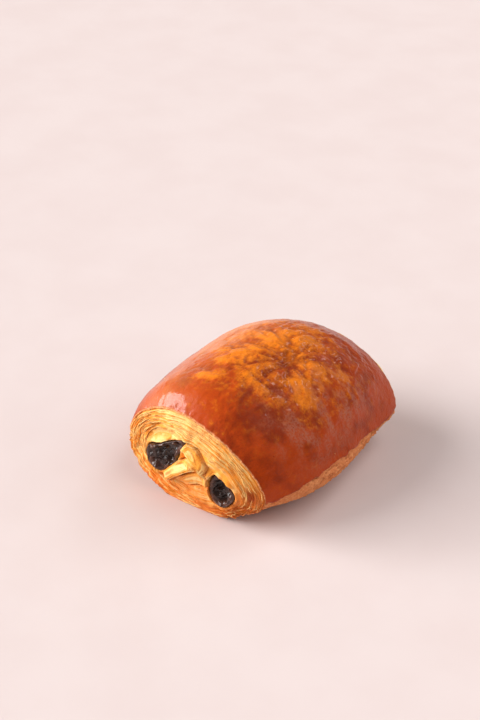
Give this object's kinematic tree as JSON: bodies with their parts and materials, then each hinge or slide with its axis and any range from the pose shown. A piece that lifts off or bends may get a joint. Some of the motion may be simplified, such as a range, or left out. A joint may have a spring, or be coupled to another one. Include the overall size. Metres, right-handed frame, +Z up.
{
  "type": "pain au chocolat",
  "caption": "Baked roll of laminated dough with a glazed brown crust and dark chocolate sticks showing at both cut ends.",
  "frame": {"origin": "middle of the flat base, under the centre of the whole roll", "axes": "+Y along the roll with the modelled cut end facing -Y, +X across the roll, +Z up"},
  "size_m": [0.079, 0.0896, 0.0503],
  "materials": {
    "crust": "egg-washed and baked red-brown with amber patches, softly glossy",
    "chocolate": "dark chocolate, melted and set again, glossy with fine cracks"
  },
  "bodies": {
    "root": {"pastry": "crust", "chocolate_left": "chocolate", "chocolate_right": "chocolate"}
  },
  "joints": []
}
